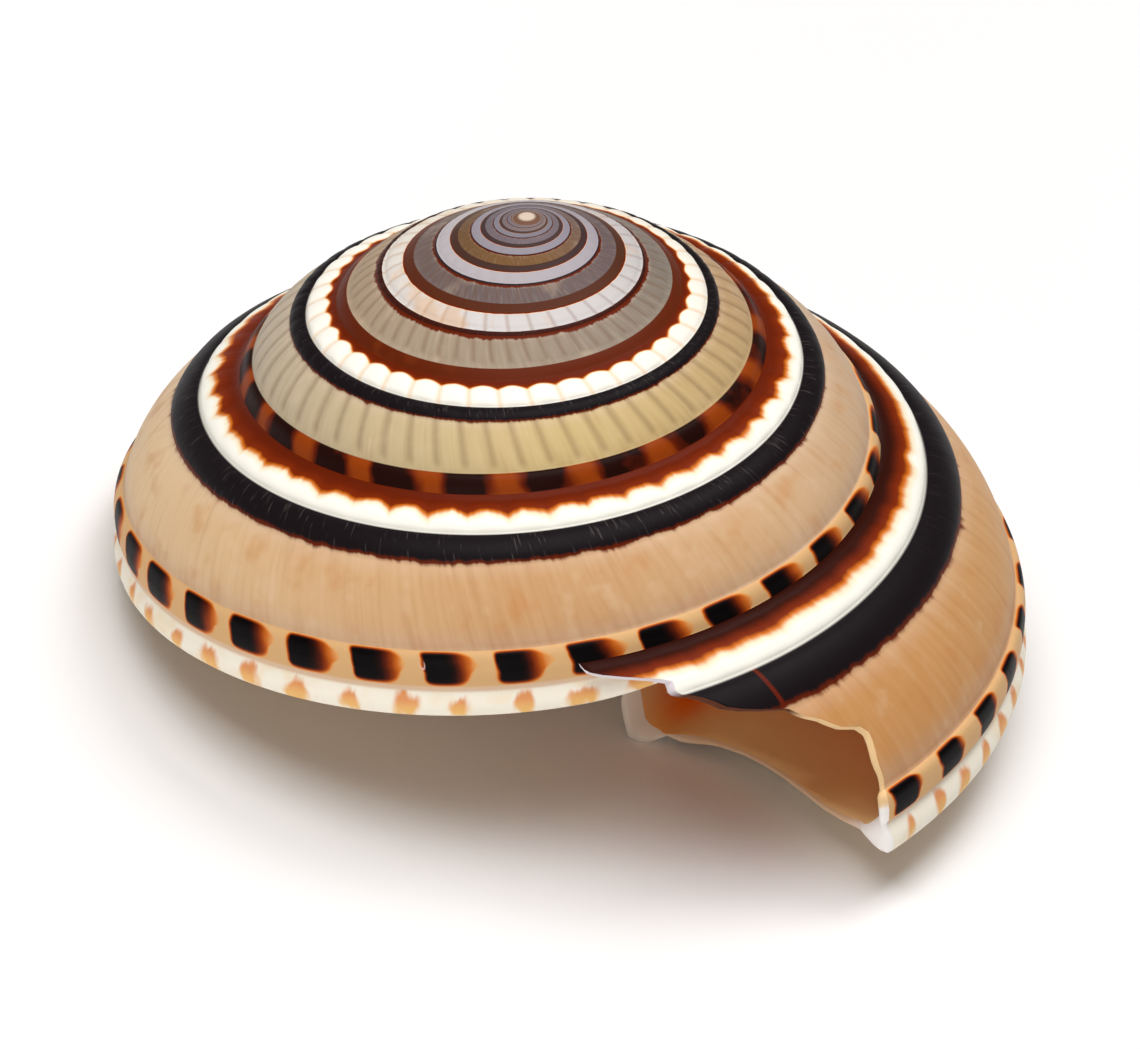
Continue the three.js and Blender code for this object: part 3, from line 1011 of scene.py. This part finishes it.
@dataclass(frozen=True)
class ShellFinish:
    """The painted and polished surface of the shell."""

    colours: ShellColours = field(default_factory=ShellColours)
    relief: Relief = field(default_factory=Relief)
    dashes: Beat = Beat(41, 8.51, -1.338, 0.27)
    flecks: Beat = Beat(66, 31.04, 0, -0.244)
    oldest: float = -8.0
    youngest: float = 0.1
    growth_line: float = 0.0416
    chip: tuple[float, float] = (-0.8058, 3.62)
    chip_scale: tuple[float, float] = (900, 4.5)
    roughness: float = 0.45
    gloss: float = 0.06

    def beat(self, grown: Quantity, beat: Beat) -> Quantity:
        """Number of repeats up to a place on the coil."""
        cube = grown * grown * grown * (beat.bend / 3)
        return grown * beat.at_lip + grown * grown * (beat.change / 2) + cube + beat.start

    def aged(self, nodes: Nodes, grown: Quantity, shades: list[tuple[float, Colour]]) -> Quantity:
        """A colour that changes along the coil.

        Args:
            nodes: The material's nodes.
            grown: Place along the coil.
            shades: Places along the coil with their colours, oldest first.

        Returns:
            The colour.
        """
        reach = self.youngest - self.oldest
        age = (grown - self.oldest) / reach
        return nodes.ramp(age, [((place - self.oldest) / reach, shade) for place, shade in shades])

    def gap(self, grown: Quantity, beat: Beat) -> Quantity:
        """How near a place is to the groove between two ribs or beads, from 0 to 1."""
        return 1 - (self.beat(grown, beat) * math.pi).one("SINE").one("ABSOLUTE")

    def field_colour(self, nodes: Nodes, place: Place) -> Quantity:
        """Colour of the broad field between the dark cord and the dashed one.

        Args:
            nodes: The material's nodes.
            place: What varies over the shell.

        Returns:
            The field's colour.
        """
        grown, band = place.grown, place.band
        plain = self.aged(nodes, grown, [
            (-8.0, colour(150, 130, 112)),
            (-6.4, colour(116, 104, 112)),
            (-5.4, colour(112, 102, 108)),
            (-4.9, colour(120, 86, 52)),
            (-4.55, colour(112, 82, 56)),
            (-4.2, colour(104, 90, 92)),
            (-3.5, colour(112, 96, 92)),
            (-3.1, colour(132, 122, 112)),
            (-2.7, colour(172, 152, 130)),
            (-2.15, colour(186, 152, 112)),
            (-1.88, colour(206, 180, 126)),
            (-1.6, colour(192, 178, 156)),
            (-1.2, colour(196, 168, 140)),
            (-1.0, colour(212, 174, 134)),
            (-0.86, colour(202, 154, 106)),
            (-0.62, colour(232, 200, 158)),
            (-0.3, colour(214, 172, 130)),
            (-0.1, colour(208, 158, 104)),
            (0.05, colour(200, 142, 86)),
        ])
        patchy = place.patches.smooth(0.5, 0.72) * 0.4 * grown.smooth(-1.5, -1.2)
        warm = nodes.mix(patchy, plain, colour(200, 136, 78))
        pale = nodes.mix(place.patches.smooth(0.42, 0.25) * 0.2, warm, colour(232, 206, 176))
        outer = band.smooth(2.7, 3.0) * 0.4 * grown.smooth(-1.6, -1.2)
        edge = nodes.mix(outer, pale, colour(202, 172, 150))
        inner = nodes.mix(band.smooth(2.25, 2.0) * 0.25, edge, colour(222, 196, 172))
        lined = nodes.mix(place.lines.smooth(0.45, 0.75) * 0.1, inner, colour(240, 216, 186))
        shaded = nodes.mix(place.lines.smooth(0.5, 0.25) * 0.14, lined, colour(150, 92, 50))
        ribbed = grown.smooth(-1.25, -1.7) * grown.smooth(-4.6, -3.4)
        groove = self.gap(grown, self.relief.ribs).smooth(0.2, 1.0) * ribbed
        return nodes.mix(groove * 0.36 * band.smooth(3.0, 2.8), shaded, colour(116, 84, 56))

    def white_cord(self, nodes: Nodes, place: Place) -> Quantity:
        """Colour of the beaded cord, rusty at the suture and white beyond it."""
        grown, band, tint = place.grown, place.band, self.colours
        gap = self.gap(grown, self.relief.beads)
        last = grown.smooth(-0.6, -0.3)
        middle = grown.smooth(-1.5, -1.25)
        width = 0.07 + grown.smooth(-2.6, -2.2) * 0.08 + middle * 0.21 + last * 0.05
        scallop = gap * (0.13 * grown.smooth(-2.5, -2.2)) * (1 - last * 0.75)
        ragged = (place.wobble - 0.5) * (0.06 + middle * 0.2) + (place.lines - 0.5) * 0.07 * middle
        edge = width + scallop + ragged
        dark = nodes.mix(last, tint.rust, tint.brown)
        part = band / edge
        fringe = nodes.mix(part.smooth(0.4, 1.0), dark, colour(126, 40, 6))
        fringe = nodes.mix(part.smooth(0.95, 1.18), fringe, tint.orange)
        fringe = nodes.mix(part.smooth(1.12, 1.4), fringe, tint.cream)
        white = self.aged(nodes, grown, [
            (-8.0, colour(140, 120, 104)),
            (-6.5, colour(120, 114, 122)),
            (-5.3, colour(142, 136, 146)),
            (-4.3, colour(160, 152, 160)),
            (-3.4, colour(196, 188, 190)),
            (-3.1, colour(200, 194, 192)),
            (-2.8, colour(214, 208, 206)),
            (-2.4, colour(240, 230, 214)),
            (-1.9, colour(255, 250, 238)),
            (-0.5, tint.white),
        ])
        between = gap.smooth(0.5, 1.0) * grown.smooth(-1.1, -1.5) * grown.smooth(-3.6, -3.0)
        white = nodes.mix(between * 0.42, white, self.aged(nodes, grown, [
            (-4.0, colour(90, 70, 66)),
            (-2.9, colour(150, 120, 104)),
            (-2.2, colour(232, 176, 112)),
            (-1.2, colour(240, 190, 128)),
        ]))
        stained = grown.smooth(-3.4, -3.0) * grown.smooth(-2.1, -2.6)
        white = nodes.mix(place.patches.smooth(0.5, 0.66) * 0.45 * stained, white, colour(222, 170, 112))
        return nodes.mix(part.smooth(1.22, 1.7), fringe, white)

    def dark_cord(self, nodes: Nodes, place: Place) -> Quantity:
        """Colour of the dark cord, with pale hairs along its growth lines, partly a painted highlight, and a
        rusty outer edge.
        """
        grown, band, tint = place.grown, place.band, self.colours
        # Pale hairs along the growth lines: partly the cord's own pale lines, partly a painted highlight on
        # their ridges.
        hair_and_highlight = place.hairs.smooth(0.6, 0.72) * 0.14 * grown.smooth(0.0, -0.3)
        shade = nodes.mix(grown.smooth(-2.2, -2.6), tint.black, tint.maroon)
        shade = nodes.mix(grown.smooth(-3.3, -3.8), shade, colour(46, 36, 40))
        black = nodes.mix(hair_and_highlight, shade, colour(150, 138, 130))
        rusty = nodes.mix((band + (place.lines - 0.5) * 0.2).smooth(1.82, 1.95), black, colour(104, 34, 8))
        line = (grown - self.growth_line).one("ABSOLUTE").smooth(0.0013, 0.0004)
        return nodes.mix(line * 0.8, rusty, colour(110, 34, 14))

    def dashed_cord(self, nodes: Nodes, place: Place) -> Quantity:
        """Colour of the cord with the dark dashes."""
        grown, band, tint = place.grown, place.band, self.colours
        count = self.beat(grown - 0.025, self.dashes) + (place.wobble - 0.5) * 0.26
        part = (count + 0.5).one("FRACT")
        off = (part - 0.6) * 2
        corner = off * off * off * off * (0.5 + grown.smooth(-0.3, -0.08) * 0.5)
        across = band.smooth(3.0 + corner, 3.26 + corner) * band.smooth(4.24 - corner, 4.1 - corner)
        lip = grown.smooth(-0.3, -0.08)
        along = part.smooth(0.02 + lip * 0.18, 0.62 - lip * 0.2)
        ink = along * part.smooth(0.93 - lip * 0.06, 0.83 - lip * 0.06) * across
        dashes = nodes.ramp(ink, [
            (0.0, tint.gap),
            (0.1, colour(228, 164, 98)),
            (0.28, colour(208, 108, 36)),
            (0.5, colour(152, 60, 12)),
            (0.7, colour(88, 28, 8)),
            (0.86, colour(34, 11, 6)),
            (0.97, tint.dash),
        ])
        strength = 0.55 + place.patches.smooth(0.35, 0.6) * 0.45
        blot = part.smooth(0.1, 0.4) * part.smooth(0.95, 0.7) * strength
        spotted = nodes.ramp(blot, [
            (0.0, colour(148, 62, 12)),
            (0.35, colour(100, 30, 6)),
            (0.75, colour(34, 10, 6)),
        ])
        old = nodes.mix(place.patches.smooth(0.5, 0.65) * 0.6, colour(92, 32, 10), colour(160, 76, 24))
        dim = self.aged(nodes, grown, [
            (-8.0, colour(92, 70, 60)),
            (-5.2, colour(66, 50, 52)),
            (-4.4, colour(78, 50, 36)),
            (-3.4, colour(96, 42, 22)),
            (-2.9, colour(100, 36, 10)),
        ])
        faded = nodes.mix(grown.smooth(-2.9, -2.3), dim, old)
        faded = nodes.mix(grown.smooth(-2.35, -2.05), faded, spotted)
        return nodes.mix(grown.smooth(-1.6, -1.3), faded, dashes)

    def keel_colour(self, nodes: Nodes, place: Place) -> Quantity:
        """Colour of the keel, white with orange flecks."""
        grown, band, tint = place.grown, place.band, self.colours
        count = self.beat(grown, self.flecks) + (place.wobble - 0.5) * 0.7
        part = (count + 0.5).one("FRACT")
        along, up = (part - 0.5) * 3.6, (band - 4.62) * 3.0 + (place.lines - 0.5) * 1.2
        ragged = (place.patches - 0.5) * 1.3 + (place.mottle - 0.5) * 0.8
        fleck = ((along * along + up * up).one("SQRT") + ragged).smooth(0.95, 0.45) * 0.85
        orange = nodes.mix(band.smooth(4.75, 4.45), colour(246, 184, 84), colour(228, 132, 34))
        pale = nodes.mix(place.patches.smooth(0.5, 0.7) * 0.5, tint.keel, tint.cream)
        keel = nodes.mix(fleck, pale, orange)
        return nodes.mix(band.smooth(4.34, 4.27), keel, tint.groove)

    def base_colour(self, nodes: Nodes, place: Place) -> Quantity:
        """Colour of the base, the notched keel and the umbilical wall."""
        grown, band = place.grown, place.band
        tan = nodes.mix(place.mottle.smooth(0.4, 0.7) * 0.5, self.colours.base, colour(208, 168, 122))
        lined = nodes.mix(place.lines.smooth(0.4, 0.8) * 0.3, tan, colour(242, 226, 202))
        count = self.beat(grown - 0.025, self.dashes) + (place.wobble - 0.5) * 0.4
        part = count.one("FRACT")
        row = band.smooth(5.0, 5.04) * band.smooth(5.16, 5.1)
        spot = part.smooth(0.2, 0.35) * part.smooth(0.7, 0.55) * row
        spotted = nodes.mix(spot * 0.7, lined, colour(176, 96, 40))
        cord = nodes.mix(band.smooth(5.84, 5.9), spotted, colour(196, 142, 92))
        pale = nodes.mix(band.smooth(6.0, 6.15), cord, colour(240, 230, 214))
        inner = nodes.mix(band.smooth(6.85, 7.05), pale, colour(206, 170, 128))
        return nodes.mix(band.smooth(7.5, 8.0) * 0.7, inner, colour(150, 96, 56))

    def hollow_colour(self, nodes: Nodes, place: Place) -> Quantity:
        """Colour inside: deep rusty orange, paler towards the lip, the outer edge and the umbilicus."""
        corner, depth = place.grown * Hollow.corner_count, (place.band - Zone.HOLLOW.value) / 4
        deep = nodes.mix(depth.smooth(0.0, 0.04), colour(232, 158, 84), colour(240, 112, 14))
        floor = corner.smooth(4.0, 5.0) * corner.smooth(8.8, 7.6) * depth.smooth(0.16, 0.01)
        tan = nodes.mix(floor * 0.9, deep, colour(250, 212, 152))
        inner = nodes.mix(corner.smooth(8.6, 9.6) * 0.95, tan, colour(212, 168, 122))
        return nodes.mix(corner.smooth(1.3, 0.7) * 0.95, inner, colour(212, 168, 122))

    def rim_colour(self, nodes: Nodes, place: Place) -> Quantity:
        """Colour of the lip's broken edge, band by band."""
        band = place.band
        shade = nodes.mix(band.smooth(0.85, 1.05), colour(232, 222, 228), colour(96, 54, 36))
        shade = nodes.mix(band.smooth(2.0, 2.15), shade, colour(242, 204, 152))
        shade = nodes.mix(band.smooth(3.6, 4.0), shade, colour(255, 250, 246))
        shade = nodes.mix(band.smooth(5.0, 5.2), shade, colour(222, 186, 150))
        shade = nodes.mix(band.smooth(5.85, 6.1), shade, colour(226, 210, 194))
        return nodes.mix(band.smooth(7.2, 7.6), shade, colour(196, 152, 110))

    def outside(self, nodes: Nodes, place: Place) -> Quantity:
        """Colour of the outside, band by band.

        Args:
            nodes: The material's nodes.
            place: What varies over the shell.

        Returns:
            The colour.
        """
        grown, band = place.grown, place.band
        rough = (place.wobble - 0.5) * 0.2 + (place.lines - 0.5) * 0.16
        ragged = band + rough * band.smooth(1.5, 1.9) * band.smooth(2.5, 2.1)
        narrow = grown.smooth(-2.3, -2.8)
        begin = 0.98 + narrow * 0.3
        white, dark = self.white_cord(nodes, place), self.dark_cord(nodes, place)
        shade = nodes.mix(band.smooth(begin, begin + 0.06), white, dark)
        end = 1.94 + narrow * 0.12
        shade = nodes.mix(ragged.smooth(end, end + 0.08), shade, self.field_colour(nodes, place))
        begin = 2.98 + grown.smooth(-1.5, -1.25) * 0.03 + narrow * 0.22
        shade = nodes.mix(band.smooth(begin, begin + 0.05), shade, self.dashed_cord(nodes, place))
        shade = nodes.mix(band.smooth(4.18, 4.25), shade, self.keel_colour(nodes, place))
        shade = nodes.mix(band.smooth(4.93, 5.0), shade, self.base_colour(nodes, place))
        along, up = (grown - self.chip[0]) * self.chip_scale[0], (band - self.chip[1]) * self.chip_scale[1]
        ring = ((along * along + up * up).one("SQRT") - 1).one("ABSOLUTE").smooth(0.32, 0.1)
        shade = nodes.mix(ring * up.smooth(-0.6, 0.3) * 0.75, shade, colour(236, 190, 178))
        larva = nodes.mix(band.smooth(-0.32, -0.2), colour(222, 202, 182), colour(120, 86, 70))
        return nodes.mix(band.smooth(-0.02, -0.08), shade, larva)

    def build(self) -> bpy.types.Material:
        """Make the material.

        Returns:
            The material.
        """
        nodes = Nodes("shell")
        uv = nodes.add("ShaderNodeUVMap", {"uv_map": SHELL_MAP}, {})
        grown = nodes.add("ShaderNodeSeparateXYZ", {}, {0: uv})
        band = Quantity(nodes, grown.socket.node.outputs[1])
        spot = nodes.add("ShaderNodeTexCoord", {}, {}, "Object")
        fine = nodes.noise(spot, 1400, 3)
        place = Place(
            grown=grown,
            band=band,
            mottle=nodes.noise(spot, 260, 3),
            patches=nodes.noise(spot, 620, 2),
            wobble=nodes.noise(nodes.vector(grown * 60, band * 0.6), 1.0, 2),
            lines=nodes.noise(nodes.vector(grown * 260, band * 0.8), 1.0, 3, 0.2),
            hairs=nodes.noise(nodes.vector(grown * 700, band * 1.2), 1.0, 2),
        )
        inside = band.smooth(Zone.HOLLOW.value - 0.6, Zone.HOLLOW.value - 0.4)
        at_lip = grown.smooth(Zone.LIP.value - 0.6, Zone.LIP.value - 0.4)
        paint = nodes.mix(inside, self.outside(nodes, place), self.hollow_colour(nodes, place))
        paint = nodes.mix(at_lip, paint, self.rim_colour(nodes, place))
        height = (place.lines - 0.5) * 0.5 + (place.hairs - 0.5) * 0.35 + (fine - 0.5) * 0.2
        bump = nodes.add("ShaderNodeBump", {}, {"Strength": 0.35, "Distance": 0.00006, "Height": height})
        rough = self.roughness + (fine - 0.5) * 0.12 + (place.lines - 0.5) * 0.1
        shader = nodes.add("ShaderNodeBsdfPrincipled", {}, {
            "Base Color": paint,
            "Roughness": rough,
            "Normal": bump,
            "Specular IOR Level": self.gloss,
        })
        nodes.add("ShaderNodeOutputMaterial", {}, {"Surface": shader})
        return nodes.material


@dataclass
class SundialShell:
    """The shell: its mesh and its finish."""

    builder: ShellBuilder = field(default_factory=ShellBuilder)
    finish: ShellFinish = field(default_factory=ShellFinish)

    def build(self) -> bpy.types.Object:
        """Model the shell, dress it and put it in place of the plain solid."""
        shell = self.builder.build()
        shell.data.materials.clear()
        shell.data.materials.append(self.finish.build())
        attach(shell, "root")
        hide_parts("shell")
        return shell


@dataclass
class Studio:
    """Pale floor, soft lights and the camera.

    Back and upright are the directions from the shell to the camera and of the picture's upper side, and
    filled is the share of the picture's width that the shell takes.
    """

    floor_radius: float = 1.2
    camera_distance: float = 2.0
    filled: float = 0.8
    back: Vector = field(default_factory=lambda: Vector((-0.00066, -0.79868, 0.60176)))
    upright: Vector = field(default_factory=lambda: Vector((-0.16535, 0.59356, 0.78762)))

    def floor(self) -> bpy.types.Object:
        """A plain pale floor."""
        bpy.ops.object.select_all(action="DESELECT")
        bpy.ops.mesh.primitive_circle_add(vertices=96, radius=self.floor_radius, fill_type="NGON",
                                          location=(0, 0, 0))
        floor = bpy.context.object
        floor.name = "floor"
        nodes = Nodes("floor")
        shader = nodes.add("ShaderNodeBsdfPrincipled", {}, {
            "Base Color": colour(250, 249, 249),
            "Roughness": 0.6,
            "Specular IOR Level": 0.2,
        })
        nodes.add("ShaderNodeOutputMaterial", {}, {"Surface": shader})
        floor.data.materials.append(nodes.material)
        return floor

    def light(self, name: str, place: Vector, size: float, power: float,
              tint: tuple[float, float, float] = (1.0, 1.0, 1.0)) -> None:
        """Add a soft light that faces the shell.

        Args:
            name: The light's name.
            place: Where it stands.
            size: Side of its square.
            power: Its power in watts.
            tint: Its colour.
        """
        lamp = bpy.data.lights.new(name, "AREA")
        lamp.size = size
        lamp.energy = power
        lamp.color = tint
        holder = bpy.data.objects.new(name, lamp)
        holder.location = place
        holder.rotation_euler = (-place).to_track_quat("-Z", "Y").to_euler()
        bpy.context.scene.collection.objects.link(holder)

    def lights(self) -> None:
        """A soft light overhead, a smaller one behind it, a low one in front, and dim pale surroundings."""
        self.light("overhead", Vector((-0.07, -0.10, 0.53)), 0.40, 2.2)
        self.light("back", Vector((0.13, 0.13, 0.42)), 0.20, 0.8)
        self.light("low", Vector((-0.16, -0.60, 0.09)), 0.30, 1.0, (1.0, 0.97, 0.93))
        world = bpy.data.worlds.new("surroundings")
        world.use_nodes = True
        background = world.node_tree.nodes["Background"]
        background.inputs["Color"].default_value = (1.0, 0.95, 0.90, 1.0)
        background.inputs["Strength"].default_value = 0.12
        bpy.context.scene.world = world

    def camera(self, target: bpy.types.Object) -> None:
        """Aim the camera as the shell is seen in the photograph.

        Args:
            target: The object that fills the picture.
        """
        back = self.back.normalized()
        right = self.upright.cross(back).normalized()
        up = back.cross(right)
        places = np.array([vertex.co for vertex in target.data.vertices])
        seen = places @ np.array([right, up, back]).T
        low, high = seen.min(axis=0), seen.max(axis=0)
        middle = (low + high) / 2
        centre = right * middle[0] + up * middle[1] + back * middle[2]
        width = high[0] - low[0]
        LOG.info("camera aims at %.5f right, %.5f up; the shell is %.5f wide", *middle[:2], width)
        lens = bpy.data.cameras.new("camera")
        lens.sensor_width = 36
        lens.lens = lens.sensor_width * self.camera_distance * self.filled / width
        lens.clip_start = 0.1
        lens.clip_end = 20
        holder = bpy.data.objects.new("camera", lens)
        turn = Matrix((right, up, back)).transposed().to_4x4()
        holder.matrix_world = Matrix.Translation(centre + back * self.camera_distance) @ turn
        bpy.context.scene.collection.objects.link(holder)
        bpy.context.scene.camera = holder


def main() -> None:
    """Build the shell and its studio."""
    logging.basicConfig(level=logging.INFO, format="%(name)s: %(message)s")
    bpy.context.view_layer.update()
    shell = SundialShell().build()
    studio = Studio()
    LOG.info("%s stands on %s", shell.name, studio.floor().name)
    studio.lights()
    studio.camera(shell)
    bpy.context.scene.view_settings.view_transform = "Standard"


if __name__ == "__main__":
    main()
